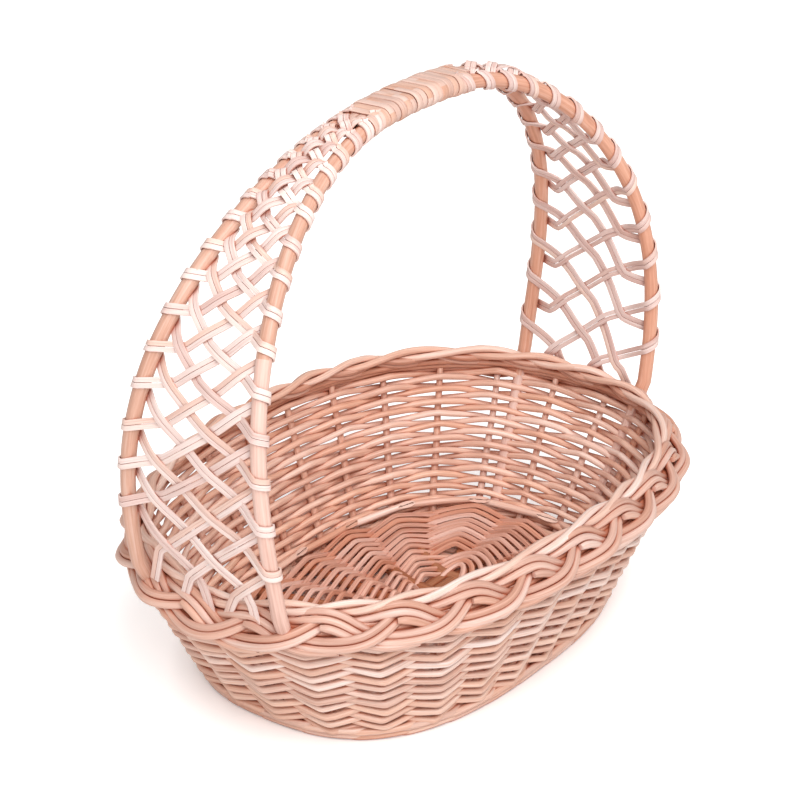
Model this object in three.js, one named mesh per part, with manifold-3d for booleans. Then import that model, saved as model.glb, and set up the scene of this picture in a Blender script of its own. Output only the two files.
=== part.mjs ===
// Oval willow basket with a laced double-bow handle.
// Millimetres, +Z up, X along the handle. The origin is the middle of the underside.

import * as THREE from 'three';
import { mergeVertices } from 'three/addons/utils/BufferGeometryUtils.js';
import Module from 'manifold-3d';

// Body
const RIM_LENGTH = 398;          // outside of the border, along the handle
const RIM_WIDTH = 292;           // outside of the border, across the handle
const RIM_POWER = 2.28;          // 2 is an ellipse, larger is squarer
const BASE_LENGTH = 278;         // outside of the bottom wale, along the handle
const BASE_WIDTH = 192;          // outside of the bottom wale, across the handle
const BASE_POWER = 2.7;
const BORDER_HEIGHT = 98;        // underside of the basket to the middle of the border, on average
const RIM_DIP = 3;               // the border sinks this much at the two ends and rises as much at the sides
const CLEARANCE = 0.3;           // between neighbouring pieces

// Stakes and side weave
const STAKE_COUNT = 26;
const STAKE_DIAMETER = 5;
const ROUND_COUNT = 8;           // each round stands for about three rods, one above the other
const ROD_DIAMETER = 3.8;

// Plaited border
const STRAND_COUNT = 3;
const STRAND_WIDTH = 9;          // a bundle of rods that lie side by side
const STRAND_THICKNESS = 4.6;
const PLAIT_TURNS = 8;           // times one strand goes from edge to edge and back
const PLAIT_SWING = 2.2;         // how far a strand swings in and out, in half strand widths
const PLAIT_RISE = 1.3;          // how far it rises and dives, in half strand thicknesses
const PLAIT_LEAN = 50;           // degrees from level, with the outer edge low

// Base
const WALE_WIDTH = 13;
const WALE_THICKNESS = 5.7;
const STICK_WIDTH = 7;
const CROSS_STICK_THICKNESS = 7;
const LONG_STICK_THICKNESS = 3;
const LONG_STICK_COUNT = 3;
const CROSS_STICK_COUNT = 5;
const CROSS_STICK_SPACING = 23;
const BASE_ROUND_COUNT = 3;
const BASE_ROD_DIAMETER = 2.5;
const SLATH_LENGTH = 112;        // straight middle stretch of the long sticks
const SLATH_MARGIN = 9;          // from the slits to the innermost round of weave
const LONG_FAN = 0.055;          // between neighbouring tips of the long sticks, in shares of the way round
const CROSS_FAN = 0.0575;        // the same for the cross sticks

// Handle
const HANDLE_TOP = 344.5;        // underside of the basket to the top of the binding
const BOW_DIAMETER = 9;
const BOW_BULGE = 14.4;          // the bows stand out this much past their feet
const BOW_POWER = 2.51;
const GRIP_SPACING = 14.2;       // between the middles of the two bows at the grip
const LEG_WIDTH = 6;             // the shaved end that runs down in the wall
const LEG_THICKNESS = 3.2;
const LEG_END_HEIGHT = 12;
const ARCH_SEGMENTS = 24;        // the laces wrap each bow once in every straight stretch
const GRIP_LENGTH = 96;
const SKEIN_WIDTH = 5.5;         // a pair of split skeins side by side
const SKEIN_THICKNESS = 1.2;
const WRAP_HEIGHT = 6;

const COLOURS = {
  rod: 0xd8a583,
  stake: 0xc9936f,
  border: 0xddb08f,
  bow: 0xc78f69,
  skein: 0xe8c8ae,
  stick: 0xbd8560,
};

const wasm = await Module();
wasm.setup();

// Worked-out sizes
const plaitAcross = (PLAIT_SWING * STRAND_WIDTH) / 2;
const plaitUp = (PLAIT_RISE * (STRAND_THICKNESS + CLEARANCE)) / 2;
const plaitReach = plaitUp + STRAND_THICKNESS / 2 + CLEARANCE;
const plaitLean = THREE.MathUtils.degToRad(PLAIT_LEAN);
const wallHalf = WALE_WIDTH / 2;
const floorLevel = WALE_THICKNESS + CLEARANCE;
const stickTop = floorLevel + CROSS_STICK_THICKNESS;
const rimInset = Math.max(...Array.from({ length: 72 }, (_, i) => plaitEdge((2 * Math.PI * i) / 72)));
const rimLine = outline(RIM_LENGTH / 2 - rimInset, RIM_WIDTH / 2 - rimInset, RIM_POWER);
const baseLine = outline(BASE_LENGTH / 2 - wallHalf, BASE_WIDTH / 2 - wallHalf, BASE_POWER);
const stakePlaces = Array.from({ length: STAKE_COUNT }, (_, k) => (k + 0.5) / STAKE_COUNT);
const legOffset = (STAKE_DIAMETER / 2 + LEG_WIDTH / 2 + 4 * CLEARANCE) / baseLine.length;
const legStakes = [1, STAKE_COUNT / 2 - 2, STAKE_COUNT / 2 + 1, STAKE_COUNT - 2];

// A rounded oval whose points are found by their share of the way round, from +X towards +Y.
function outline(halfX, halfY, power) {
  const points = [];
  const steps = 1440;
  for (let i = 0; i <= steps; i += 1) {
    const angle = (2 * Math.PI * i) / steps;
    const c = Math.cos(angle);
    const s = Math.sin(angle);
    const x = halfX * Math.sign(c) * Math.abs(c) ** (2 / power);
    const y = halfY * Math.sign(s) * Math.abs(s) ** (2 / power);
    points.push(new THREE.Vector2(x, y));
  }
  const reach = [0];
  for (let i = 1; i <= steps; i += 1) {
    reach.push(reach[i - 1] + points[i].distanceTo(points[i - 1]));
  }
  const length = reach[steps];
  const at = (share) => {
    const goal = (share - Math.floor(share)) * length;
    let i = reach.findIndex((r) => r > goal);
    i = i < 1 ? steps : i;
    const part = (goal - reach[i - 1]) / (reach[i] - reach[i - 1]);
    return points[i - 1].clone().lerp(points[i], part);
  };
  return { at, length };
}

function rimHeight(share) {
  return BORDER_HEIGHT - RIM_DIP * Math.cos(4 * Math.PI * share);
}

// The middle of the wall is a straight line from the base oval to the rim oval at every share.
function wallPoint(share, z) {
  const flat = baseLine.at(share).lerp(rimLine.at(share), z / rimHeight(share));
  return new THREE.Vector3(flat.x, flat.y, z);
}

function wallAlong(share, z) {
  const step = 0.002;
  const ahead = wallPoint(share + step, z);
  return ahead.sub(wallPoint(share - step, z)).setZ(0).normalize();
}

function wallOut(share, z) {
  const along = wallAlong(share, z);
  return new THREE.Vector3(along.y, -along.x, 0);
}

// A leaning wall is thicker when it is measured level.
function leanFactor(share, z) {
  const run = wallPoint(share, z + 1).sub(wallPoint(share, z)).dot(wallOut(share, z));
  return Math.sqrt(1 + run * run);
}

// Joins matching rings of points into a closed solid, either as a loop or with two capped ends.
function sweep(rings, loop) {
  const sides = rings[0].length;
  const positions = rings.flat().flatMap((p) => [p.x, p.y, p.z]);
  const faces = [];
  const spans = loop ? rings.length : rings.length - 1;
  for (let i = 0; i < spans; i += 1) {
    const here = i * sides;
    const next = ((i + 1) % rings.length) * sides;
    for (let k = 0; k < sides; k += 1) {
      const side = (k + 1) % sides;
      faces.push(here + k, next + k, next + side, here + k, next + side, here + side);
    }
  }
  if (!loop) {
    const last = (rings.length - 1) * sides;
    for (let k = 1; k < sides - 1; k += 1) {
      faces.push(0, k, k + 1, last, last + k + 1, last + k);
    }
  }
  return facingOut(positions, faces);
}

function facingOut(positions, faces) {
  const corner = (i) => new THREE.Vector3(positions[3 * i], positions[3 * i + 1], positions[3 * i + 2]);
  let volume = 0;
  for (let i = 0; i < faces.length; i += 3) {
    volume += corner(faces[i]).dot(corner(faces[i + 1]).cross(corner(faces[i + 2])));
  }
  const turned = [];
  for (let i = 0; i < faces.length; i += 3) {
    turned.push(faces[i], faces[i + (volume < 0 ? 2 : 1)], faces[i + (volume < 0 ? 1 : 2)]);
  }
  const geometry = new THREE.BufferGeometry();
  geometry.setAttribute('position', new THREE.Float32BufferAttribute(positions, 3));
  geometry.setIndex(turned);
  return geometry;
}

// A round or flattened ring of points about a centre, in the plane of two directions.
function ringOf(centre, across, up, halfAcross, halfUp, sides) {
  return Array.from({ length: sides }, (_, k) => {
    const angle = (2 * Math.PI * (k + 0.5)) / sides;
    const point = centre.clone().addScaledVector(across, halfAcross * Math.cos(angle));
    return point.addScaledVector(up, halfUp * Math.sin(angle));
  });
}

function boxRing(centre, across, up, halfAcross, halfUp) {
  return [[1, 1], [-1, 1], [-1, -1], [1, -1]].map(([a, u]) => {
    const point = centre.clone().addScaledVector(across, a * halfAcross);
    return point.addScaledVector(up, u * halfUp);
  });
}

function toManifold(geometry) {
  const bare = geometry.clone();
  bare.deleteAttribute('normal');
  bare.deleteAttribute('uv');
  const merged = mergeVertices(bare, 1e-5);
  return new wasm.Manifold(new wasm.Mesh({
    numProp: 3,
    vertProperties: new Float32Array(merged.attributes.position.array),
    triVerts: new Uint32Array(merged.index.array),
  }));
}

function fromManifold(solid) {
  const mesh = solid.getMesh();
  const geometry = new THREE.BufferGeometry();
  geometry.setAttribute('position', new THREE.BufferAttribute(new Float32Array(mesh.vertProperties), 3));
  geometry.setIndex(new THREE.BufferAttribute(new Uint32Array(mesh.triVerts), 1));
  return geometry;
}

const part = new THREE.Group();

function addPiece(name, geometry, colour) {
  const flat = geometry.toNonIndexed();
  flat.computeVertexNormals();
  const material = new THREE.MeshStandardMaterial({ color: colour, roughness: 0.6, metalness: 0 });
  const mesh = new THREE.Mesh(flat, material);
  mesh.name = name;
  part.add(mesh);
}

// Stakes: straight uprights from the bottom wale to the border.
function stake(share) {
  const ends = [floorLevel, rimHeight(share) - plaitReach / Math.cos(plaitLean)];
  const rings = ends.map((z) => {
    const radius = STAKE_DIAMETER / 2;
    const thick = radius * leanFactor(share, z);
    return ringOf(wallPoint(share, z), wallAlong(share, z), wallOut(share, z), radius, thick, 6);
  });
  return sweep(rings, false);
}

// Shares of the way round where a round of weave runs flat past one stake, and past a bow's leg beside it.
function stakeFlat(k) {
  const midLength = (rimLine.length + baseLine.length) / 2;
  const plain = (STAKE_DIAMETER / 2 + 0.8) / midLength;
  const wide = legOffset + (LEG_WIDTH / 2 + 1) / baseLine.length;
  const legSide = Math.sign(legShare(k) - stakePlaces[k]);
  const before = legSide < 0 ? wide : plain;
  const after = legSide > 0 ? wide : plain;
  return [stakePlaces[k] - before, stakePlaces[k] + after];
}

// A bow's leg stands beside its stake, on the side nearer the end of the basket.
function legShare(k) {
  const side = { [legStakes[0]]: -1, [legStakes[1]]: 1, [legStakes[2]]: -1, [legStakes[3]]: 1 }[k] ?? 0;
  return stakePlaces[k] + side * legOffset;
}

// The weave ends a little lower than the stakes, where its outer face meets the underside of the border.
function weaveTop(share) {
  const high = rimHeight(share);
  const slope = wallPoint(share, high + 1).sub(wallPoint(share, high)).dot(wallOut(share, high));
  const half = (STAKE_DIAMETER / 2 + CLEARANCE + ROD_DIAMETER) * leanFactor(share, high);
  const drop = plaitReach + half * Math.sin(plaitLean);
  return high - drop / (Math.cos(plaitLean) + slope * Math.sin(plaitLean));
}

function sideRound(index) {
  const swing = STAKE_DIAMETER / 2 + CLEARANCE + ROD_DIAMETER / 2;
  const rings = [];
  for (let k = 0; k < STAKE_COUNT; k += 1) {
    const way = (k + index) % 2 === 0 ? 1 : -1;
    for (const share of stakeFlat(k)) {
      const step = (weaveTop(share) - floorLevel) / ROUND_COUNT;
      const low = floorLevel + index * step;
      const high = low + step - CLEARANCE;
      const corner = (z, side) => {
        const reach = (way * swing + (side * ROD_DIAMETER) / 2) * leanFactor(share, z);
        return wallPoint(share, z).addScaledVector(wallOut(share, z), reach);
      };
      rings.push([corner(low, -1), corner(low, 1), corner(high, 1), corner(high, -1)]);
    }
  }
  return sweep(rings, true);
}

// Border: a leaning three-strand plait. Each strand swings from the high inner edge
// to the low outer edge and back.
function plaitPlace(swing) {
  const across = plaitAcross * Math.sin(swing);
  const rise = -plaitUp * Math.sin(2 * swing);
  return {
    out: across * Math.cos(plaitLean) + rise * Math.sin(plaitLean),
    up: rise * Math.cos(plaitLean) - across * Math.sin(plaitLean),
  };
}

// How far the outside of a strand lies from the middle of the border, measured level.
function plaitEdge(swing) {
  const half = Math.hypot(STRAND_WIDTH * Math.cos(plaitLean), STRAND_THICKNESS * Math.sin(plaitLean)) / 2;
  return plaitPlace(swing).out + half;
}

function borderStrand(index) {
  const rings = [];
  const steps = PLAIT_TURNS * 12;
  for (let i = 0; i < steps; i += 1) {
    const share = i / steps;
    const place = plaitPlace(2 * Math.PI * (PLAIT_TURNS * share + index / STRAND_COUNT));
    const out = wallOut(share, rimHeight(share));
    const up = new THREE.Vector3(0, 0, 1);
    const middle = wallPoint(share, rimHeight(share));
    const centre = middle.addScaledVector(out, place.out).addScaledVector(up, place.up);
    const across = out.clone().multiplyScalar(Math.cos(plaitLean)).addScaledVector(up, -Math.sin(plaitLean));
    const face = up.clone().multiplyScalar(Math.cos(plaitLean)).addScaledVector(out, Math.sin(plaitLean));
    rings.push(ringOf(centre, across, face, STRAND_WIDTH / 2, STRAND_THICKNESS / 2, 8));
  }
  return sweep(rings, true);
}

// Bottom wale: the flat ring that the basket stands on.
function bottomWale() {
  const rings = [];
  const steps = 48;
  for (let i = 0; i < steps; i += 1) {
    const share = (i + 0.5) / steps;
    const centre = wallPoint(share, 0).setZ(WALE_THICKNESS / 2);
    rings.push(boxRing(centre, wallOut(share, 0), new THREE.Vector3(0, 0, 1), wallHalf, WALE_THICKNESS / 2));
  }
  return sweep(rings, true);
}

// Base sticks run straight through the middle and fan out to tips just inside the wall.
function tipPoint(share) {
  const edge = wallPoint(share, 0);
  return edge.addScaledVector(wallOut(share, 0), -wallHalf);
}

function longStickPath(i) {
  const row = i - (LONG_STICK_COUNT - 1) / 2;
  const y = row * (STICK_WIDTH + CLEARANCE);
  const tip = tipPoint(row * LONG_FAN);
  return [[-tip.x, tip.y], [-SLATH_LENGTH / 2, y], [SLATH_LENGTH / 2, y], [tip.x, tip.y]];
}

function crossStickPath(i) {
  const row = i - (CROSS_STICK_COUNT - 1) / 2;
  const x = row * CROSS_STICK_SPACING;
  const tip = tipPoint(0.25 - row * CROSS_FAN);
  const knee = slotHalf() + STICK_WIDTH / 2;
  return [[tip.x, -tip.y], [x, -knee], [x, knee], [tip.x, tip.y]];
}

function slotHalf() {
  return (LONG_STICK_COUNT * (STICK_WIDTH + CLEARANCE)) / 2 + CLEARANCE;
}

function stickAlong(path, thickness, middle) {
  const flat = path.map(([x, y]) => new THREE.Vector3(x, y, middle));
  const rings = flat.map((point, i) => {
    const before = flat[Math.max(i - 1, 0)];
    const after = flat[Math.min(i + 1, flat.length - 1)];
    const along = after.clone().sub(before).normalize();
    const across = new THREE.Vector3(along.y, -along.x, 0);
    return boxRing(point, across, new THREE.Vector3(0, 0, 1), STICK_WIDTH / 2, thickness / 2);
  });
  return sweep(rings, false);
}

// The cross sticks are slit, and the long sticks pass through the slits.
function crossStick(i) {
  const middle = floorLevel + CROSS_STICK_THICKNESS / 2;
  const solid = toManifold(stickAlong(crossStickPath(i), CROSS_STICK_THICKNESS, middle));
  const slot = new THREE.BoxGeometry(3 * STICK_WIDTH, 2 * slotHalf(), LONG_STICK_THICKNESS + 2 * CLEARANCE);
  const x = (i - (CROSS_STICK_COUNT - 1) / 2) * CROSS_STICK_SPACING;
  slot.translate(x, 0, middle);
  return fromManifold(solid.subtract(toManifold(slot)));
}

function longStick(i) {
  return stickAlong(longStickPath(i), LONG_STICK_THICKNESS, floorLevel + CROSS_STICK_THICKNESS / 2);
}

// A round of base weave goes over one stick and under the next. The innermost round takes
// the long sticks at each end as one bundle.
function baseRound(index) {
  const room = BASE_WIDTH / 2 - WALE_WIDTH - slotHalf() - SLATH_MARGIN;
  const width = room / BASE_ROUND_COUNT;
  const inset = wallHalf + CLEARANCE + (index + 0.5) * width;
  const line = outline(BASE_LENGTH / 2 - wallHalf - inset, BASE_WIDTH / 2 - wallHalf - inset, BASE_POWER);
  const crossPlaces = [];
  for (let i = 0; i < CROSS_STICK_COUNT; i += 1) {
    crossPlaces.push(...stickPlaces(line, crossStickPath(i), width));
  }
  const longPlaces = [];
  for (let i = 0; i < LONG_STICK_COUNT; i += 1) {
    longPlaces.push(...stickPlaces(line, longStickPath(i), width));
  }
  const innermost = index === BASE_ROUND_COUNT - 1;
  const spare = STICK_WIDTH / 2 / line.length;
  const places = [...crossPlaces, ...(innermost ? bundled(longPlaces, spare) : longPlaces)];
  places.sort((a, b) => a.from - b.from);
  const over = stickTop + CLEARANCE + BASE_ROD_DIAMETER / 2;
  const under = floorLevel - CLEARANCE - BASE_ROD_DIAMETER / 2;
  const rings = [];
  places.forEach(({ from, to }, k) => {
    const level = (k + index) % 2 === 0 ? over : under;
    for (const share of [from, to]) {
      const { point, out } = onLine(line, share);
      const centre = new THREE.Vector3(point.x, point.y, level);
      const halfWidth = width / 2 - CLEARANCE;
      rings.push(boxRing(centre, out, new THREE.Vector3(0, 0, 1), halfWidth, BASE_ROD_DIAMETER / 2));
    }
  });
  return sweep(rings, true);
}

function onLine(line, share) {
  const along = line.at(share + 0.002).sub(line.at(share - 0.002)).normalize();
  return { point: line.at(share), along, out: new THREE.Vector3(along.y, -along.x, 0) };
}

// The two stretches of an oval that lie over a stick, as shares of the way round.
function stickPlaces(line, path, width) {
  return [[path[0], path[1]], [path[3], path[2]]].map(([tip, knee]) => {
    const share = crossing(line, tip, knee);
    const { along, out } = onLine(line, share);
    const run = new THREE.Vector2(...tip).sub(new THREE.Vector2(...knee)).normalize();
    const slant = Math.abs(run.dot(along) / (run.x * out.x + run.y * out.y));
    const reach = (STICK_WIDTH / 2) * Math.hypot(1, slant) + (slant * width) / 2 + 3 * CLEARANCE;
    const half = reach / line.length;
    const centred = share > 0.75 ? share - 1 : share;
    return { from: centred - half, to: centred + half };
  });
}

function bundled(places, spare) {
  const right = places.filter((p) => Math.abs(p.from) < 0.25);
  const left = places.filter((p) => Math.abs(p.from) >= 0.25);
  return [right, left].map((group) => ({
    from: Math.min(...group.map((p) => p.from)) - spare,
    to: Math.max(...group.map((p) => p.to)) + spare,
  }));
}

// Where an oval meets the straight outer stretch of a stick, as a share of the way round.
function crossing(line, tip, knee) {
  const start = new THREE.Vector2(...knee);
  const run = new THREE.Vector2(...tip).sub(start);
  let best = { gap: Infinity, share: 0 };
  for (let i = 0; i < 720; i += 1) {
    const point = line.at(i / 720).sub(start);
    const along = point.dot(run) / run.lengthSq();
    const gap = point.addScaledVector(run, -Math.min(Math.max(along, 0), 1)).length();
    best = gap < best.gap ? { gap, share: i / 720 } : best;
  }
  return best.share;
}

// Handle: each bow is one rod, shaved flat at both ends where it runs down inside the wall.
function footPoint(share) {
  return wallPoint(share, footHeight(share));
}

function footHeight(share) {
  return rimHeight(share) + plaitReach + BOW_DIAMETER / 2;
}

function archPoints(way) {
  const foot = footPoint(legShare(legStakes[0]));
  const top = HANDLE_TOP - BOW_DIAMETER / 2 - SKEIN_THICKNESS - 2 * CLEARANCE;
  const fine = [];
  const steps = 720;
  for (let i = 0; i <= steps; i += 1) {
    const angle = (Math.PI * i) / steps;
    const c = Math.cos(angle);
    const s = Math.sin(angle);
    const rise = Math.max(s, 0) ** (2 / BOW_POWER);
    const halfX = foot.x + BOW_BULGE * Math.sin(Math.PI * Math.max(s, 0) ** 0.8);
    const x = halfX * Math.sign(c) * Math.abs(c) ** (2 / BOW_POWER);
    const y = GRIP_SPACING / 2 + (foot.y - GRIP_SPACING / 2) * (1 - rise * rise);
    fine.push(new THREE.Vector3(x, way * y, foot.z + (top - foot.z) * rise));
  }
  const curve = new THREE.CurvePath();
  for (let i = 0; i < steps; i += 1) {
    curve.add(new THREE.LineCurve3(fine[i], fine[i + 1]));
  }
  return curve.getSpacedPoints(ARCH_SEGMENTS);
}

function archDirection(points, i) {
  const before = points[Math.max(i - 1, 0)];
  const after = points[Math.min(i + 1, points.length - 1)];
  return after.clone().sub(before).normalize();
}

function archFrame(points, i) {
  const along = archDirection(points, i);
  const across = new THREE.Vector3(0, 1, 0).addScaledVector(along, -along.y).normalize();
  return { across, up: across.clone().cross(along) };
}

function legRings(share, extra) {
  const heights = [LEG_END_HEIGHT - extra, rimHeight(share) + plaitReach];
  return heights.map((z) => {
    const halfWide = LEG_WIDTH / 2 + extra;
    const halfThick = (LEG_THICKNESS / 2) * leanFactor(share, z) + extra;
    return ringOf(wallPoint(share, z), wallAlong(share, z), wallOut(share, z), halfWide, halfThick, 8);
  });
}

function matched(ring, target) {
  const sum = (shift, turn) => ring.reduce((total, _, k) => {
    const other = ring[(((turn * k + shift) % ring.length) + ring.length) % ring.length];
    return total + other.distanceTo(target[k]);
  }, 0);
  let best = { total: Infinity };
  for (const turn of [1, -1]) {
    for (let shift = 0; shift < ring.length; shift += 1) {
      const total = sum(shift, turn);
      best = total < best.total ? { total, shift, turn } : best;
    }
  }
  return ring.map((_, k) => ring[(((best.turn * k + best.shift) % ring.length) + ring.length) % ring.length]);
}

function bowRings(way, radius, sides) {
  const points = archPoints(way);
  return points.map((point, i) => {
    const { across, up } = archFrame(points, i);
    return ringOf(point, across, up, radius, radius, sides);
  });
}

function bow(way) {
  const arch = bowRings(way, BOW_DIAMETER / 2, 8);
  const [start, end] = way > 0 ? [legStakes[0], legStakes[1]] : [legStakes[3], legStakes[2]];
  const first = legRings(legShare(start), 0).map((ring) => matched(ring, arch[0]));
  const last = legRings(legShare(end), 0).map((ring) => matched(ring, arch[arch.length - 1]));
  return sweep([...first, ...arch, ...last.reverse()], false);
}

// The border strands are notched where the four shaved legs pass down between them.
function notchedStrand(index) {
  let solid = toManifold(borderStrand(index));
  for (const k of legStakes) {
    const share = legShare(k);
    const room = legRings(share, CLEARANCE);
    const top = wallPoint(share, footHeight(share) + BOW_DIAMETER);
    const shift = top.sub(wallPoint(share, rimHeight(share) + plaitReach));
    const raised = room[1].map((point) => point.clone().add(shift));
    solid = solid.subtract(toManifold(sweep([room[0], raised], false)));
  }
  return fromManifold(solid);
}

// Grip: flat skein bound round both bows, open at both ends where the bows go through.
function gripBinding() {
  const points = archPoints(1);
  const inner = (BOW_DIAMETER / 2 + CLEARANCE) / Math.cos(Math.PI / 8);
  const loops = { out: [], in: [] };
  for (const { centre, up } of gripStations(points)) {
    const middle = centre.clone().setY(0);
    loops.out.push(stadium(middle, up, centre.y, inner + SKEIN_THICKNESS));
    loops.in.push(stadium(middle, up, centre.y, inner));
  }
  const sleeve = toManifold(sweep(loops.out, false));
  return fromManifold(sleeve.subtract(toManifold(sweep(lengthened(loops.in), false))));
}

// The bend points of the arch that lie inside the grip, between its two ends.
function gripStations(points) {
  const pitch = points[0].distanceTo(points[1]);
  const middle = ARCH_SEGMENTS / 2;
  const bends = Math.ceil(GRIP_LENGTH / 2 / pitch) - 1;
  const stations = [];
  for (let i = middle - bends; i <= middle + bends; i += 1) {
    stations.push({ centre: points[i], up: levelUp(archDirection(points, i)) });
  }
  const rest = (GRIP_LENGTH / 2 - bends * pitch) / pitch;
  for (const way of [-1, 1]) {
    const bend = points[middle + way * bends];
    const beyond = points[middle + way * (bends + 1)];
    const up = levelUp(beyond.clone().sub(bend).multiplyScalar(way));
    const end = { centre: bend.clone().lerp(beyond, rest), up };
    stations.splice(way < 0 ? 0 : stations.length, 0, end);
  }
  return stations;
}

// Square to the arch, in the upright plane along the handle.
function levelUp(along) {
  return new THREE.Vector3(along.z, 0, -along.x).normalize();
}

function lengthened(rings) {
  const push = (ring, next) => ring.map((p, k) => p.clone().add(p.clone().sub(next[k]).setLength(1)));
  const last = rings.length - 1;
  return [push(rings[0], rings[1]), ...rings.slice(1, last), push(rings[last], rings[last - 1])];
}

function stadium(centre, up, halfSpacing, radius) {
  const across = new THREE.Vector3(0, 1, 0);
  return [1, -1].flatMap((way) => Array.from({ length: 5 }, (_, k) => {
    const angle = -Math.PI / 2 + (Math.PI * k) / 4;
    const point = centre.clone().addScaledVector(across, way * (halfSpacing + radius * Math.cos(angle)));
    return point.addScaledVector(up, way * radius * Math.sin(angle));
  }));
}

// Lacing: pairs of split skein cross from bow to bow and wrap each bow, at one end of the handle.
function lacing(endWay) {
  const front = archPoints(-1);
  const back = archPoints(1);
  const spot = (i) => (endWay > 0 ? i : ARCH_SEGMENTS - 1 - i);
  const middleOf = (points, i) => points[spot(i)].clone().lerp(points[spot(i) + 1], 0.5);
  const normalAt = (i) => archFrame(back, spot(i)).up.clone().setY(0).normalize();
  const pitch = front[0].distanceTo(front[1]);
  const wraps = Math.floor(ARCH_SEGMENTS / 2 - (GRIP_LENGTH / 2 + WRAP_HEIGHT) / pitch - 0.5);
  const solids = [];
  const strip = (from, to, normal, lift) => {
    const across = to.clone().sub(from).cross(normal).normalize();
    const rings = [from, to].map((point) => {
      const centre = point.clone().addScaledVector(normal, lift);
      return boxRing(centre, across, normal, SKEIN_WIDTH / 2, SKEIN_THICKNESS / 2);
    });
    solids.push(toManifold(sweep(rings, false)));
  };
  for (let i = 0; i + 2 <= wraps; i += 1) {
    strip(middleOf(front, i), middleOf(back, i + 2), normalAt(i + 1), SKEIN_THICKNESS / 4);
    strip(middleOf(back, i), middleOf(front, i + 2), normalAt(i + 1), -SKEIN_THICKNESS / 4);
  }
  const low = front[endWay > 0 ? 0 : ARCH_SEGMENTS].clone().setY(0);
  strip(low, middleOf(front, 1), normalAt(0), SKEIN_THICKNESS / 4);
  strip(low, middleOf(back, 1), normalAt(0), -SKEIN_THICKNESS / 4);
  const roomRadius = (BOW_DIAMETER / 2 + CLEARANCE) / Math.cos(Math.PI / 6);
  const wrapRadius = roomRadius + SKEIN_THICKNESS / Math.cos(Math.PI / 6);
  for (let i = 1; i <= wraps; i += 1) {
    for (const points of [front, back]) {
      const along = points[spot(i) + 1].clone().sub(points[spot(i)]).normalize();
      const { across, up } = archFrame([points[spot(i)], points[spot(i) + 1]], 0);
      const rings = [-1, 1].map((way) => {
        const centre = middleOf(points, i).addScaledVector(along, (way * WRAP_HEIGHT) / 2);
        return ringOf(centre, across, up, wrapRadius, wrapRadius, 6);
      });
      solids.push(toManifold(sweep(rings, false)));
    }
  }
  let net = wasm.Manifold.union(solids);
  for (const way of [-1, 1]) {
    net = net.subtract(toManifold(sweep(bowRings(way, roomRadius, 6), false)));
  }
  return fromManifold(net);
}

// Assembly, from the base up
addPiece('bottom_wale', bottomWale(), COLOURS.rod);
for (let i = 0; i < LONG_STICK_COUNT; i += 1) {
  addPiece(`base_stick_long_${i + 1}`, longStick(i), COLOURS.stick);
}
for (let i = 0; i < CROSS_STICK_COUNT; i += 1) {
  addPiece(`base_stick_cross_${i + 1}`, crossStick(i), COLOURS.stick);
}
for (let i = 0; i < BASE_ROUND_COUNT; i += 1) {
  addPiece(`base_round_${i + 1}`, baseRound(i), COLOURS.rod);
}
stakePlaces.forEach((share, k) => {
  addPiece(`stake_${String(k + 1).padStart(2, '0')}`, stake(share), COLOURS.stake);
});
for (let i = 0; i < ROUND_COUNT; i += 1) {
  addPiece(`side_round_${i + 1}`, sideRound(i), COLOURS.rod);
}
for (let i = 0; i < STRAND_COUNT; i += 1) {
  addPiece(`border_strand_${i + 1}`, notchedStrand(i), COLOURS.border);
}
addPiece('handle_bow_front', bow(-1), COLOURS.bow);
addPiece('handle_bow_back', bow(1), COLOURS.bow);
addPiece('lacing_left', lacing(-1), COLOURS.skein);
addPiece('lacing_right', lacing(1), COLOURS.skein);
addPiece('grip_binding', gripBinding(), COLOURS.skein);

export default part;
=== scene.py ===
# %% [markdown]
# # An oval willow basket with a laced handle
# The real basket is woven from peeled willow: upright stakes, thin rods woven round them,
# a plaited border, and two bent bows laced together into one handle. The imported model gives
# every piece its place as a plain ring or bar, and each is replaced here by the rods that it
# stands for. A bump map would be quicker, but light shines through a woven wall, so this lesson
# bends many thin rods along worked-out lines.

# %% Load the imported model
import math

import bpy
import numpy as np
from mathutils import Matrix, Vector


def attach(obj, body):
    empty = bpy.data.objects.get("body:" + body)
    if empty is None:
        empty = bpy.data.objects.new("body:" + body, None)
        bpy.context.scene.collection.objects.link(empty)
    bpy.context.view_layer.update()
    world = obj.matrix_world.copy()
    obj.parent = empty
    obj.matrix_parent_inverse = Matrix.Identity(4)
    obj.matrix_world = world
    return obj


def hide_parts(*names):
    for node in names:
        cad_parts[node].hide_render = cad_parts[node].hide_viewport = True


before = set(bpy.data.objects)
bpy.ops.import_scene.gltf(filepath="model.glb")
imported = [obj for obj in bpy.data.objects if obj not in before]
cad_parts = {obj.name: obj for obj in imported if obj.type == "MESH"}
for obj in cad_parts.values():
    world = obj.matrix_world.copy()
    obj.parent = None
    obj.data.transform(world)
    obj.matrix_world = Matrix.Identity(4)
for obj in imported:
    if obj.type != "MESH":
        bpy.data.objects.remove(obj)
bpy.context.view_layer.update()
print("nodes:", len(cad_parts))

# %% [markdown]
# ## Camera
# The photograph looks down on the basket from its left front corner. A camera could be moved by
# eye until the picture agrees. Here its place, direction and lens come from fitting the rim, the
# base and the handle to the picture, which is more exact.

# %% Camera
MM = 0.001
CAMERA_PLACE = np.array([-1102.4, -834.0, 815.4])
CAMERA_AIM = np.array([-28.3, -13.6, 164.6])
FOCAL_PIXELS = 2611.0
PHOTO_PIXELS = 800.0
SENSOR = 36.0
CLIP_END = 20.0


def aim(thing, place, goal):
    thing.location = Vector(place * MM)
    thing.rotation_euler = Vector((goal - place) * MM).to_track_quat("-Z", "Y").to_euler()


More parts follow.
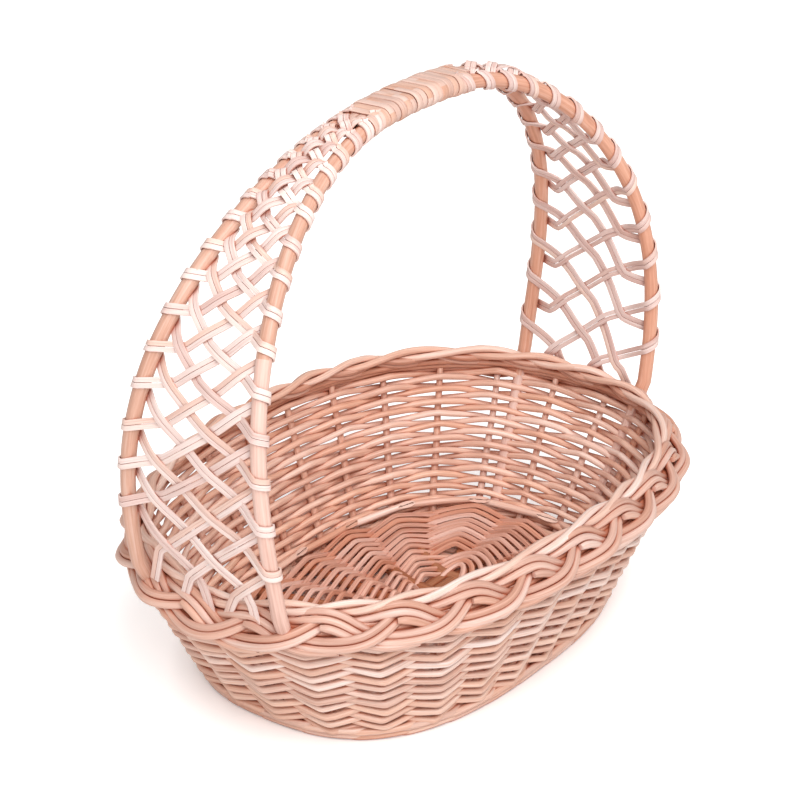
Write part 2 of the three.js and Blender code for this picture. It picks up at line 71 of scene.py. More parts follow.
bpy.ops.object.camera_add()
camera = bpy.context.object
camera.name = "photo_camera"
camera.data.sensor_width = SENSOR
camera.data.lens = SENSOR * FOCAL_PIXELS / PHOTO_PIXELS
camera.data.clip_end = CLIP_END
aim(camera, CAMERA_PLACE, CAMERA_AIM)
bpy.context.scene.camera = camera
print("lens:", round(camera.data.lens, 1), "mm")

# %% [markdown]
# ## The lines that everything follows
# The wall of a willow basket is one surface that rises from the base oval to the rim oval. Every
# rod runs along it, so the two ovals and the wall between them come first. They could be drawn
# as curves, but a formula gives any point and direction on them at once.
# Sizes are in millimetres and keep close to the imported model. A place along an oval is a share
# of its length, from 0 at the right end, round the back, to 1.

# %% Base oval and rim oval
RIM_HALF = (186.5, 133.5)
RIM_POWER = 2.28
BASE_HALF = (132.5, 89.5)
BASE_POWER = 2.7
OVAL_STEPS = 2880


def lengths(line):
    """How far along a line each of its points lies."""
    return np.r_[0, np.cumsum(np.linalg.norm(np.diff(line, axis=0), axis=1))]


def along_line(goal, reach, line):
    """The points that lie so far along a line."""
    return np.stack([np.interp(goal, reach, column) for column in line.T], -1)


def oval(half_x, half_y, power):
    angle = np.linspace(0, 2 * math.pi, OVAL_STEPS + 1)
    c, s = np.cos(angle), np.sin(angle)
    x = half_x * np.sign(c) * np.abs(c) ** (2 / power)
    y = half_y * np.sign(s) * np.abs(s) ** (2 / power)
    line = np.c_[x, y]
    reach = lengths(line)

    def at(share):
        return along_line(np.mod(share, 1.0) * reach[-1], reach, line)

    return at, reach[-1]


rim_line, rim_length = oval(*RIM_HALF, RIM_POWER)
base_line, base_length = oval(*BASE_HALF, BASE_POWER)
print("rim:", round(rim_length), "mm round, base:", round(base_length), "mm round")

# %% Wall between the ovals
BORDER_HEIGHT = 98.0
# The rim is a little lower at both ends than along the sides.
RIM_DIP = 3.0
# Between the feet of the handle the left end is pressed down a little more.
END_SAG = 6.0
SAG_SPREAD = 0.035
SHARE_STEP = 0.002


def unit(v):
    return v / np.linalg.norm(v, axis=-1, keepdims=True)


def rim_height(share):
    sag = END_SAG * np.exp(-((np.mod(share, 1.0) - 0.5) / SAG_SPREAD) ** 2)
    return BORDER_HEIGHT - RIM_DIP * np.cos(4 * math.pi * share) - sag


def wall_point(share, z):
    part = (z / rim_height(share))[..., None]
    flat = base_line(share) * (1 - part) + rim_line(share) * part
    return np.concatenate([flat, np.asarray(z)[..., None]], -1)


def wall_run(share, z):
    return wall_point(share + SHARE_STEP, z) - wall_point(share - SHARE_STEP, z)


def wall_out(share, z):
    """The level direction outwards."""
    run = wall_run(share, z)
    return unit(np.stack([run[..., 1], -run[..., 0], np.zeros(len(run))], -1))


def wall_face(share, z):
    """The direction square to the leaning wall, outwards and a little down."""
    rise = wall_point(share, z + 1.0) - wall_point(share, z)
    return unit(np.cross(wall_run(share, z), rise))


print("rim height:", np.round(rim_height(np.array([0.0, 0.25, 0.5])), 1), "mm")

# %% [markdown]
# ## Bending a rod
# A peeled rod is a long, slightly uneven cylinder. A cylinder could be bent by a modifier, but a
# path with a round bevel follows any line. One helper makes a whole set of rods: one path with a
# line for each, thick or thin at every point, turned into a mesh and closed at the ends. Each rod
# keeps its length in its UV map, for the grain, and a number from 0 to 1, for its tone.

# %% Helpers: rods
GRAIN_SHIFT = 10.0
SMOOTH_ANGLE = math.radians(50)


def mark_rods(mesh, runs, closed, sides):
    """Write real lengths into the UV map and a tone on every point."""
    along = np.zeros(2 * len(mesh.loops), np.float32)
    mesh.uv_layers[0].data.foreach_get("uv", along)
    along = along.reshape(-1, 2)
    tones = np.zeros(len(mesh.vertices), np.float32)
    corner, vertex = 0, 0
    for points, radius, tone in runs:
        loop = np.vstack([points, points[:1]]) if closed else points
        corners = 4 * sides * (len(loop) - 1)
        patch = along[corner:corner + corners]
        patch[:, 0] *= lengths(loop)[-1] * MM
        patch[:, 1] *= 2 * math.pi * np.mean(radius) * MM
        patch[:, 0] += GRAIN_SHIFT * tone
        tones[vertex:vertex + sides * len(points)] = tone
        corner += corners
        vertex += sides * len(points)
    mesh.uv_layers[0].data.foreach_set("uv", along.ravel())
    mesh.attributes.new("tone", "FLOAT", "POINT").data.foreach_set("value", tones)


def face_outwards(open_ends):
    bpy.ops.object.mode_set(mode="EDIT")
    bpy.ops.mesh.select_all(action="SELECT")
    if open_ends:
        bpy.ops.mesh.fill_holes(sides=0)
    bpy.ops.mesh.normals_make_consistent(inside=False)
    bpy.ops.object.mode_set(mode="OBJECT")


def rods(name, runs, closed=False, sides=8):
    bpy.ops.curve.primitive_nurbs_path_add()
    piece = bpy.context.object
    piece.name = name
    path = piece.data
    path.splines.clear()
    for points, radius, _ in runs:
        line = path.splines.new("POLY")
        line.points.add(len(points) - 1)
        line.points.foreach_set("co", np.c_[points * MM, np.ones(len(points))].ravel())
        line.points.foreach_set("radius", np.broadcast_to(radius, len(points)) * MM)
        line.use_cyclic_u = closed
    path.dimensions = "3D"
    path.bevel_depth = 1.0
    path.bevel_resolution = sides // 2 - 2
    bpy.ops.object.convert(target="MESH")
    piece = bpy.context.object
    piece.data.name = name
    mark_rods(piece.data, runs, closed, sides)
    if not closed:
        face_outwards(open_ends=True)
    bpy.ops.object.shade_smooth_by_angle(angle=SMOOTH_ANGLE)
    return piece


# %% [markdown]
# No rod is quite even, so each gets a few slow waves with a random start. The seed is fixed, so
# the basket is the same on every run. A stiff rod runs straight between two stakes and bends
# tightly round them, which a sine doesn't do and a softened zigzag does.

# %% Helpers: unevenness and bends
rng = np.random.default_rng(7)


def even_shares(count):
    return np.arange(count) / count


def wobble(share, size, waves=(2, 5, 9)):
    total = np.zeros_like(share)
    for count in waves:
        total = total + np.sin(2 * math.pi * (count * share + rng.random())) / len(waves)
    return size * total


def zigzag(turn, crisp=0.985):
    return np.arcsin(crisp * np.cos(2 * math.pi * turn)) / math.asin(crisp)


print("half a bend:", np.round(zigzag(np.linspace(0, 0.5, 5)), 2))

# %% [markdown]
# ## Willow
# Peeled willow that was dried and stored turns from cream to a pinkish tan. Its skin is smooth
# with a satin shine, fine streaks run along each rod, and every rod has its own tone. A picture
# of willow wrapped round each rod would repeat, and noise drawn out along the rod doesn't. One
# small function adds a node, and one recipe makes every finish from three colours.

# %% Helpers: a colour and a node
def linear(code):
    """An sRGB hex colour as linear light."""
    parts = [int(code[i:i + 2], 16) / 255 for i in (1, 3, 5)]
    light = [p / 12.92 if p <= 0.04045 else ((p + 0.055) / 1.055) ** 2.4 for p in parts]
    return (*light, 1.0)


def add(tree, kind, inputs=None, **settings):
    made = tree.nodes.new("ShaderNode" + kind)
    for key, value in settings.items():
        setattr(made, key, value)
    for key, value in (inputs or {}).items():
        if isinstance(value, bpy.types.NodeSocket):
            tree.links.new(value, made.inputs[key])
        else:
            made.inputs[key].default_value = value
    return made


def streaks(tree, place, length_mm, width_mm, detail, roughness):
    """Noise drawn out along the rod, in marks of about this length and width."""
    scale = (1 / (length_mm * MM), 1 / (width_mm * MM), 1.0)
    spread = add(tree, "Mapping", {"Vector": place, "Scale": scale})
    noise = add(tree, "TexNoise", {"Vector": spread.outputs[0], "Scale": 1.0,
                                   "Detail": detail, "Roughness": roughness})
    return noise.outputs[0]


print("cream is", np.round(linear("#ebc9b9"), 3))

# %% [markdown]
# The colour of a rod is one level from dark to pale. Its own tone, a slow drift along it and the
# fine streaks are added up to that level. Small brown bud marks come on top, and some rods are
# tanner than others, whatever their tone.

# %% Recipe: the colour of a rod
TONE_RANGE = (0.2, 0.8)
DRIFT_SIZE = (110.0, 14.0)
DRIFT_WEIGHT = 0.55
STREAK_WEIGHT = 1.6
LEVEL_RANGE = (1.0, 2.15)
# Buds leave marks a few centimetres apart.
BUD_SIZE = (34.0, 5.0)
BUD_RANGE = (0.70, 0.80)
BUD_STRENGTH = 0.6
TAN = "#f2cdae"
TAN_FROM = 0.4
TAN_STRENGTH = 0.6
TAN_SHUFFLE = 7.31


def rod_colour(tree, place, grain, dark, middle, pale):
    tone = add(tree, "Attribute", attribute_name="tone").outputs["Fac"]
    own = add(tree, "MapRange", {"Value": tone, "To Min": TONE_RANGE[0], "To Max": TONE_RANGE[1]})
    drift = streaks(tree, place, *DRIFT_SIZE, 2.0, 0.5)
    blend = add(tree, "Math", {0: drift, 1: DRIFT_WEIGHT, 2: own.outputs[0]},
                operation="MULTIPLY_ADD")
    blend = add(tree, "Math", {0: grain, 1: STREAK_WEIGHT, 2: blend.outputs[0]},
                operation="MULTIPLY_ADD")
    level = add(tree, "MapRange", {"Value": blend.outputs[0], "From Min": LEVEL_RANGE[0],
                                   "From Max": LEVEL_RANGE[1]})
    ramp = add(tree, "ValToRGB", {"Fac": level.outputs[0]})
    ramp.color_ramp.elements[0].color = linear(dark)
    ramp.color_ramp.elements[1].color = linear(pale)
    ramp.color_ramp.elements.new(0.5).color = linear(middle)
    buds = streaks(tree, place, *BUD_SIZE, 1.0, 0.4)
    spot = add(tree, "MapRange", {"Value": buds, "From Min": BUD_RANGE[0],
                                  "From Max": BUD_RANGE[1], "To Max": BUD_STRENGTH})
    marked = add(tree, "Mix", {"Factor": spot.outputs[0], 6: ramp.outputs[0], 7: linear(dark)},
                 data_type="RGBA")
    turn = add(tree, "Math", {0: tone, 1: TAN_SHUFFLE}, operation="MULTIPLY")
    turn = add(tree, "Math", {0: turn.outputs[0]}, operation="FRACT")
    tan = add(tree, "MapRange", {"Value": turn.outputs[0], "From Min": TAN_FROM,
                                 "To Max": TAN_STRENGTH})
    tanned = add(tree, "Mix", {"Factor": tan.outputs[0], 6: marked.outputs[2], 7: linear(TAN)},
                 data_type="RGBA", blend_type="MULTIPLY")
    return tanned.outputs[2]


# %% [markdown]
# Painted light and painted shade: the side of the basket that faces a given way is painted warmer
# and brighter than the side turned away, which is a slow change over Object coordinates. A surface
# close to another one is painted darker and browner, a painted shade in the gaps between rods.
# That could be painted, but Ambient Occlusion finds the gaps on any shape.

# %% Recipe: painted light, painted shade and shine
# Tints for painted shade on the side turned away and painted light on the side that faces the given
# way.
PAINTED_SHADE_SIDE = "#f0f0f1"
PAINTED_LIGHT_SIDE = "#fff3ec"
PAINTED_LIGHT_REACH = 120.0
# Painted shade in the gaps between rods: its colour, how far it reaches, its range and its
# strength.
PAINTED_GAP_SHADE = "#b5562f"
GAP_SHADE_REACH = 6.0
GAP_SHADE_RANGE = (0.12, 0.7)
GAP_SHADE_MOST = 0.85
STREAK_LENGTH = 45.0
SHINE_RANGE = (0.3, 0.7)
WOOD_IOR = 1.48


def paint_light_and_shade(tree, colour, painted_light_way):
    place = add(tree, "TexCoord").outputs["Object"]
    # Painted light and shade: warmer and brighter towards the given way, greyer and darker away
    # from it.
    side = add(tree, "VectorMath", {0: place, 1: painted_light_way}, operation="DOT_PRODUCT")
    lit_share = add(tree, "MapRange", {"Value": side.outputs["Value"], "From Min": -PAINTED_LIGHT_REACH * MM,
                                 "From Max": PAINTED_LIGHT_REACH * MM})
    painted_tint = add(tree, "Mix", {"Factor": lit_share.outputs[0], 6: linear(PAINTED_SHADE_SIDE),
                             7: linear(PAINTED_LIGHT_SIDE)}, data_type="RGBA")
    lit = add(tree, "Mix", {"Factor": 1.0, 6: colour, 7: painted_tint.outputs[2]},
              data_type="RGBA", blend_type="MULTIPLY")
    # Painted shade: darker and browner wherever another surface is close.
    gap = add(tree, "AmbientOcclusion", {"Distance": GAP_SHADE_REACH * MM}, samples=8)
    gap_shade = add(tree, "MapRange",
               {"Value": gap.outputs["AO"], "From Min": GAP_SHADE_RANGE[0], "From Max": GAP_SHADE_RANGE[1],
                "To Min": GAP_SHADE_MOST, "To Max": 0.0})
    gap_shaded = add(tree, "Mix", {"Factor": gap_shade.outputs[0], 6: lit.outputs[2], 7: linear(PAINTED_GAP_SHADE)},
               data_type="RGBA")
    return gap_shaded.outputs[2]


# Unless a way is given, the painted light falls on the back of the basket and the painted shade on
# its front.
def willow(name, dark, middle, pale, roughness, streak_mm, depth_mm, painted_light_way=(0.25, 0.9, 0.0)):
    finish = bpy.data.materials.new(name)
    finish.use_nodes = True
    tree = finish.node_tree
    shader = tree.nodes["Principled BSDF"]
    place = add(tree, "UVMap", uv_map="UVMap").outputs[0]
    grain = streaks(tree, place, STREAK_LENGTH, streak_mm, 4.0, 0.6)
    colour = paint_light_and_shade(tree, rod_colour(tree, place, grain, dark, middle, pale), painted_light_way)
    tree.links.new(colour, shader.inputs["Base Color"])
    shine = add(tree, "MapRange",
                {"Value": grain, "From Min": SHINE_RANGE[0], "From Max": SHINE_RANGE[1],
                 "To Min": roughness - 0.08, "To Max": roughness + 0.1})
    tree.links.new(shine.outputs[0], shader.inputs["Roughness"])
    bump = add(tree, "Bump", {"Height": grain, "Distance": depth_mm * MM, "Strength": 0.6})
    tree.links.new(bump.outputs[0], shader.inputs["Normal"])
    shader.inputs["IOR"].default_value = WOOD_IOR
    print("finish:", name)
    return finish


# %% [markdown]
# Every finish is willow, and what was done to it makes the difference. Each takes its dark,
# middle and pale colour, its roughness, the width of its streaks and the depth of its grain.

# %% Finishes
# With no way given, the painted light and shade is one even half-way tint everywhere.
EVEN_PAINTED_LIGHT = (0.0, 0.0, 0.0)
# The bows are painted warmer towards the right and the back, and greyer towards the left and the
# front: painted light and painted shade.
BOW_PAINTED_LIGHT = (0.8, 0.5, 0.0)
# Thin rods keep their smooth inner skin, so they shine softly.
rod_willow = willow("peeled_willow_rod", "#cd9f8b", "#ebc9b9", "#faede7", 0.37, 1.1, 0.05)
# The border is plaited from the stakes, bent and handled more, so it is browner.
border_willow = willow("plaited_willow_rod", "#b88672", "#d8ad9b", "#ebd0c4", 0.39, 1.1, 0.05)
# The bows are older, thicker wood, browner and with broader streaks.
bow_willow = willow("steamed_willow_bow", "#b67e67", "#d7a68f", "#ebcbbb", 0.42, 1.6, 0.06, BOW_PAINTED_LIGHT)
# A skein is a rod split in three and shaved, so it shows pale wood with fine, straight grain.
skein_willow = willow("shaved_willow_skein", "#d3b1a9", "#ecd9d4", "#f8f1ef", 0.42, 0.8, 0.05,
                      EVEN_PAINTED_LIGHT)
# Where a bow is shaved it shows pale wood too, rougher than its skin.
leg_willow = willow("shaved_willow_leg", "#c39a8c", "#e2c0b4", "#f0dad2", 0.5, 1.6, 0.06, EVEN_PAINTED_LIGHT)
# The binding of the grip is skein, worn by hands to a warmer tan.
grip_willow = willow("handled_willow_binding", "#c29a8b", "#e0c2b5", "#eed9d0", 0.4, 0.8, 0.05)
# The base is woven from leftover rods, browner and duller than the best ones.
base_willow = willow("browner_willow_rod", "#b8806a", "#dcab98", "#f0d0c4", 0.46, 1.0, 0.05, EVEN_PAINTED_LIGHT)
# The sticks of the base are split from thick brown wood, so they are dark and rough.
stick_willow = willow("split_willow_stick", "#7d4a2f", "#a86e4e", "#c48d6b", 0.6, 1.4, 0.12)
# A cut end shows rough pale wood.
end_willow = willow("cut_willow_end", "#cfa392", "#e9cabd", "#f3ded4", 0.75, 0.9, 0.1)
# The pith in the middle of a cut is soft and brown.
pith_willow = willow("brown_willow_pith", "#6d3f2a", "#8a5439", "#a06a4c", 0.8, 0.6, 0.1)


def dress(piece, finish, slot, *nodes, ends=True):
    piece.data.materials.clear()
    piece.data.materials.append(finish)
    if ends:
        piece.data.materials.append(end_willow)
        for polygon in piece.data.polygons:
            polygon.material_index = 1 if polygon.loop_total > 4 else 0
    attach(piece, "root")
    if nodes:
        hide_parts(*nodes)
    print(piece.name, len(piece.data.polygons), "faces")


# %% [markdown]
# ## Stakes
# The stakes are the uprights of the wall. They are a little thicker than the rods, they taper
# upwards, and no two lean quite alike. One stake could be copied round the oval, but the copies
# would show, so each is a short rod of its own that runs up into the border.

# %% Stakes
STAKE_COUNT = 26
STAKE_RADIUS = 2.4
STAKE_FOOT = 2.4
STAKE_HEAD = 4.0
STAKE_POINTS = 14
STAKE_THICK, STAKE_TAPER = 1.06, 0.18
stake_shares = (np.arange(STAKE_COUNT) + 0.5) / STAKE_COUNT
for k, share in enumerate(stake_shares):
    rise = np.linspace(0, 1, STAKE_POINTS)
    spot = np.full(STAKE_POINTS, share) + wobble(rise, 0.0006, (1, 2))
    z = STAKE_FOOT + rise * (rim_height(spot) - STAKE_HEAD - STAKE_FOOT)
    thick = STAKE_RADIUS * (STAKE_THICK - STAKE_TAPER * rise)
    stake = rods(f"stake_rod_{k + 1:02d}", [(wall_point(spot, z), thick, rng.random())])
    dress(stake, rod_willow, "willow_stake", f"stake_{k + 1:02d}")

# %% [markdown]
# ## Side weave
# Rods go in front of one stake and behind the next, and each row does the opposite of the row
# below it. That is a wave that swings once for every two stakes. A cloth pattern could fake it,
# but only real rods leave slits of light. The rows follow the wall upwards, in uneven steps.

# %% Side weave
ROW_COUNT = 23
ROUND_COUNT = 8
ROD_RADIUS = 2.13
ROD_SLACK = 0.2
ROD_CRISP = 0.997
ROW_FOOT = 8.4
ROW_HEAD = 6.5
ROW_TILT = 1.2
STEPS_PER_STAKE = 20
swing = STAKE_RADIUS + ROD_RADIUS + ROD_SLACK
share = even_shares(STAKE_COUNT * STEPS_PER_STAKE)
top = rim_height(share) - ROW_HEAD
groups = {}
for row in range(ROW_COUNT):
    drift = wobble(share, 0.09, (4, 11, 17))
    wave = zigzag((STAKE_COUNT * share - 0.5 + row + drift) / 2, ROD_CRISP)
    level = ROW_FOOT + (row + 0.5) / ROW_COUNT * (top - ROW_FOOT)
    z = level - ROW_TILT * wave + wobble(share, 0.85, (3, 7, 13, 19, 31))
    line = wall_point(share, z) + wall_face(share, z) * (swing * wave)[:, None]
    thick = ROD_RADIUS * (1 + wobble(share, 0.16, (1, 3, 8)))
    groups.setdefault(row * ROUND_COUNT // ROW_COUNT, []).append((line, thick, rng.random()))
for number, runs in groups.items():
    weave = rods(f"side_weave_{number + 1}", runs, closed=True)
    dress(weave, rod_willow, "willow_rod", f"side_round_{number + 1}", ends=False)

# %% [markdown]
# ## Bottom wale
# Three rods run together round the foot of the wall: each goes in front of two stakes and
# behind one, which twists them like a rope. This is the ring that the basket stands on. A twisted
# torus would be near it, but here each rod finds its stakes. The rods close on themselves after
# 27 steps, a number that divides by three.

# %% Bottom wale
WALE_RADIUS = 2.2
WALE_BEATS = 27
WALE_LEVELS = (2.9, 6.9)
WALE_SWING = 4.4
WALE_TILT = 0.65
STEPS_PER_BEAT = 14
share = even_shares(WALE_BEATS * STEPS_PER_BEAT)
runs = []
for strand in range(3):
    for lap, level in enumerate(WALE_LEVELS):
        beat = (WALE_BEATS * share - strand - lap) * 2 * math.pi / 3
        # In front for longer than behind.
        swing_out = np.clip(1.25 * np.cos(beat) + 0.35, -1, 1)
        z = level + WALE_TILT * np.sin(beat)
        line = wall_point(share, z) + wall_out(share, z) * (WALE_SWING * swing_out)[:, None]
        runs.append((line, WALE_RADIUS * (1 + wobble(share, 0.06)), rng.random()))
wale = rods("bottom_wale_rods", runs, closed=True)
dress(wale, rod_willow, "willow_rod", "bottom_wale", ends=False)

# %% [markdown]
# ## Plaited border
# The ends of the stakes are plaited into a thick edge. Each of three strands swings from the
# inner edge over to the outer edge and back, and the plait lies tilted, with its outer edge
# low. One stretch could be modelled and copied along a curve, but at the tight ends of the oval
# it would shear, so each strand is worked out all the way round.

# %% Helpers: one rod of the plait
UP = np.array([0.0, 0.0, 1.0])
PLAIT_TURNS = 8
PLAIT_ACROSS = 9.2
PLAIT_UP = 3.1
PLAIT_TILT = math.radians(55)
PLAIT_INSET = 1.4
PLAIT_CORNER = 0.08
# At the inner edge the strands draw together and sink.
PLAIT_GATHER = 4.0
PLAIT_SINK = 2.0
OVER_LATE = math.radians(35)


def plait_place(share, across, rise):
    z = rim_height(share)
    out = wall_out(share, z)
    flat = across * math.cos(PLAIT_TILT) + rise * math.sin(PLAIT_TILT) - PLAIT_INSET
    high = rise * math.cos(PLAIT_TILT) - across * math.sin(PLAIT_TILT)
    return out, wall_point(share, z) + out * flat[:, None] + UP * high[:, None]


def plait_line(share, strand):
    beat = 2 * math.pi * (PLAIT_TURNS * share + strand / 3)
    inner = np.clip(-np.sin(beat), 0, 1) ** 2
    wave = (np.sin(beat) + PLAIT_CORNER * np.sin(3 * beat)) / (1 - PLAIT_CORNER)
    across = PLAIT_ACROSS * wave + PLAIT_GATHER * inner
    rise = -PLAIT_UP * np.sin(2 * beat) - PLAIT_SINK * inner
    return beat, *plait_place(share, across, rise)


def plait_rod(share, strand, sideways, lift):
    beat, out, line = plait_line(share, strand)
    run = unit(np.gradient(line, axis=0))
    side = out * math.cos(PLAIT_TILT) - UP * math.sin(PLAIT_TILT)
    side = unit(side - run * np.sum(side * run, axis=1)[:, None])
    face = np.cross(side, run)
    over = 0.5 + 0.5 * np.cos(beat + OVER_LATE)
    return line + side * sideways(over)[:, None] + face * lift(over)[:, None]


print("one turn of the plait:", round(rim_length / PLAIT_TURNS), "mm")

# %% [markdown]
# A strand is two long rods side by side. Where it comes over from the inside, a third, short rod
# lies beside them and thins out at its start. The short rods are pieces of their own.

# %% Plaited border
PLAIT_ROD = 2.35
PLAIT_PITCH = 2.25
STEPS_PER_TURN = 64
FILLER_START, FILLER_FINISH = -48.0, 100.0
FILLER_POINTS = 40
FILLER_LIFT, FILLER_SINK = 2.2, 1.8
share = even_shares(PLAIT_TURNS * STEPS_PER_TURN)
padded = np.r_[share[-2:] - 1, share, share[:2] + 1]
wedge = np.clip(0.78 + np.arange(FILLER_POINTS) / 14.0, 0, 1)
for strand in range(3):
    runs = []
    for place in (-1, 1):
        line = plait_rod(padded, strand, lambda over: PLAIT_PITCH * (place - over),
                         lambda over: 0 * over)[2:-2]
        line += wall_out(share, rim_height(share)) * wobble(share, 0.4)[:, None]
        runs.append((line, PLAIT_ROD * (1 + wobble(share, 0.07, (2, 7, 11))), rng.random()))
    border = rods(f"border_plait_{strand + 1}", runs, closed=True)
    shorts = []
    for turn in range(PLAIT_TURNS):
        start = FILLER_START + 8 * rng.random()
        degrees = np.linspace(start, FILLER_FINISH, FILLER_POINTS)
        spread = (turn - strand / 3) / PLAIT_TURNS + degrees / 360 / PLAIT_TURNS
        line = plait_rod(spread, strand, lambda over: PLAIT_PITCH * (1 + over),
                         lambda over: FILLER_LIFT * over - FILLER_SINK)
        shorts.append((line, PLAIT_ROD * wedge, rng.random()))
    extra = rods(f"border_filler_{strand + 1}", shorts)
    dress(border, border_willow, "border_rod", f"border_strand_{strand + 1}", ends=False)
    dress(extra, border_willow, "border_rod")

# %% [markdown]
# Inside the plait the tips of the stakes run on along the rim and fill it, so that no light comes
# through. Along its inner edge two long rods run loosely twisted, and the strands come out from
# under them. Both are laid out in the tilted plane of the plait.

# %% Core and inner edge of the border
CORE_PLACES = (-2.5, 1.5, 5.5)
CORE_RISE = -3.4
CORE_ROD = 2.1
CORE_STEPS = 400
cores = []
share = even_shares(CORE_STEPS)
for across in CORE_PLACES:
    drift = wobble(share, 0.8, (5, 11, 17))
    _, line = plait_place(share, across + drift, np.full(CORE_STEPS, CORE_RISE))
    cores.append((line, CORE_ROD, rng.random()))
dress(rods("border_core", cores, closed=True), border_willow, "border_rod", ends=False)

EDGE_MIDDLE = (-11.7, -1.4)
EDGE_TWIST = 2.4
EDGE_TURNS = 12
EDGE_ROD = 2.3
EDGE_STEPS = 600
edges = []
share = even_shares(EDGE_STEPS)
for half in (0, 1):
    angle = 2 * math.pi * (EDGE_TURNS * share + half / 2) + 0.5 * np.sin(2 * math.pi * 5 * share)
    across = EDGE_MIDDLE[0] + EDGE_TWIST * np.cos(angle)
    _, line = plait_place(share, across, EDGE_MIDDLE[1] + EDGE_TWIST * np.sin(angle))
    thick = EDGE_ROD + 0.12 * np.sin(6 * math.pi * share + half)
    edges.append((line, thick, 0.35 + 0.25 * half))
dress(rods("border_edge", edges, closed=True), rod_willow, "border_rod", ends=False)

# %% [markdown]
# ## Base
# Five thick sticks are slit in the middle and three thin ones are pushed through them. Their ends
# fan out towards the wall. Straight bars would be simpler, but the fan makes the pattern of the
# floor, so each stick is a rod along a smoothed line with two knees.

# %% Base sticks
FLOOR_MIDDLE = 9.5
STICK_RADIUS = 3.4
STICK_POINTS = 60
SMOOTH_ROUNDS = 12
TIP_GAP = 4.0
SLATH_HALF = 56.0
LONG_FAN = 0.055
LONG_SPACING = 7.3
LONG_RADIUS = 3.5
LONG_FLAT = 0.5
CROSS_FAN = 0.0575
CROSS_SPACING = 23.0
CROSS_KNEE = 14.8


def stick_tip(share):
    here = np.array([share])
    return (wall_point(here, np.zeros(1)) - TIP_GAP * wall_out(here, np.zeros(1)))[0, :2]


def smooth_way(corners, z):
    corners = np.array(corners, float)
    reach = lengths(corners)
    way = along_line(np.linspace(0, reach[-1], STICK_POINTS), reach, corners)
    for _ in range(SMOOTH_ROUNDS):
        way[1:-1] = (way[:-2] + 2 * way[1:-1] + way[2:]) / 4
    return np.c_[way, np.full(STICK_POINTS, z)]


spokes = []
for i in range(3):
    row = i - 1
    tip = stick_tip(row * LONG_FAN)
    y = LONG_SPACING * row
    line = smooth_way([(-tip[0], tip[1]), (-SLATH_HALF, y), (SLATH_HALF, y), tip], 0.0)
    stick = rods(f"long_stick_{i + 1}", [(line, LONG_RADIUS, rng.random())])
    for vertex in stick.data.vertices:
        vertex.co.z = vertex.co.z * LONG_FLAT + FLOOR_MIDDLE * MM
    dress(stick, stick_willow, "base_stick", f"base_stick_long_{i + 1}")
    spokes += [row * LONG_FAN, 0.5 - row * LONG_FAN]
for i in range(5):
    row = i - 2
    tip = stick_tip(0.25 - row * CROSS_FAN)
    x = row * CROSS_SPACING
    line = smooth_way([(tip[0], -tip[1]), (x, -CROSS_KNEE), (x, CROSS_KNEE), tip], FLOOR_MIDDLE)
    stick = rods(f"cross_stick_{i + 1}", [(line, STICK_RADIUS, rng.random())])
    dress(stick, stick_willow, "base_stick", f"base_stick_cross_{i + 1}")
    spokes += [0.25 - row * CROSS_FAN, 0.75 + row * CROSS_FAN]

# %% [markdown]
# Rods are woven over and under the sixteen stick ends, in ovals that grow outwards. This is the
# side weave laid flat: it waves up and down instead of in and out. Near the middle the three thin
# sticks at each end are taken together, as one, so that over and under still take turns.

# %% Base weave
BASE_ROD = 1.75
BASE_ROWS = 25
BASE_PITCH = 3.0
BASE_SWING = STICK_RADIUS + BASE_ROD + 0.6
BASE_STEPS = 480
FIRST_INSET = 8.0
# One last rod is pushed in between the weave and the foot of the wall.
LAST_INSET = 4.7
ROWS_PER_ROUND = 9
FIRST_INNER_ROW = 17
outer = np.sort(np.mod(np.array(spokes), 1.0))
crosswise = (np.abs(outer - 0.25) < 0.12) | (np.abs(outer - 0.75) < 0.12)
inner = np.sort(np.r_[outer[crosswise], 0.0, 0.5])
share = even_shares(BASE_STEPS)


def base_wave(stops, row):
    marks = np.r_[stops - 1, stops, stops + 1]
    beat = np.interp(share, marks, np.arange(-len(stops), 2 * len(stops)))
    return FLOOR_MIDDLE + BASE_SWING * zigzag((beat + row) / 2)


def base_oval(inset, power):
    return oval(BASE_HALF[0] - inset, BASE_HALF[1] - inset, power)[0]


base_groups = {0: [], 1: [], 2: []}
for row in range(BASE_ROWS):
    oval_line = base_oval(FIRST_INSET + row * BASE_PITCH, BASE_POWER - 0.015 * row)
    z = base_wave(inner if row >= FIRST_INNER_ROW else outer, row) + wobble(share, 0.3)
    line = np.c_[oval_line(share + wobble(share, 0.0005)), z]
    thick = BASE_ROD * (1 + wobble(share, 0.14))
    base_groups[min(row // ROWS_PER_ROUND, 2)].append((line, thick, rng.random()))
line = np.c_[base_oval(LAST_INSET, BASE_POWER)(share), base_wave(outer, -1)]
base_groups[0].append((line, BASE_ROD, 0.4))
for number, runs in base_groups.items():
    weave = rods(f"base_weave_{number + 1}", runs, closed=True, sides=6)
    dress(weave, base_willow, "willow_rod", f"base_round_{number + 1}", ends=False)

# %% [markdown]
# ## Rod ends
# Where a weaving rod runs out, its thick end is left lying inside along the foot of the wall. It
# is cut off at a long slant, and the pith shows in the cut. A boolean could cut it, but it is
# enough to push the last ring of points along the rod. An inset face makes the pith.

# %% Rod ends
END_COUNT = 14
END_RADIUS = 2.3
END_SIDES = 10
END_LENGTH = 52.0
END_HEIGHT, END_DROP = 18.0, 4.0
END_DEPTH, END_BEND = 10.2, 7.5
CUT_SLANT = 3.3
PITH_INSET = 2.0


def points_of(piece, *shape):
    spots = np.zeros(3 * len(piece.data.vertices))
    piece.data.vertices.foreach_get("co", spots)
    return spots.reshape(*shape, 3)


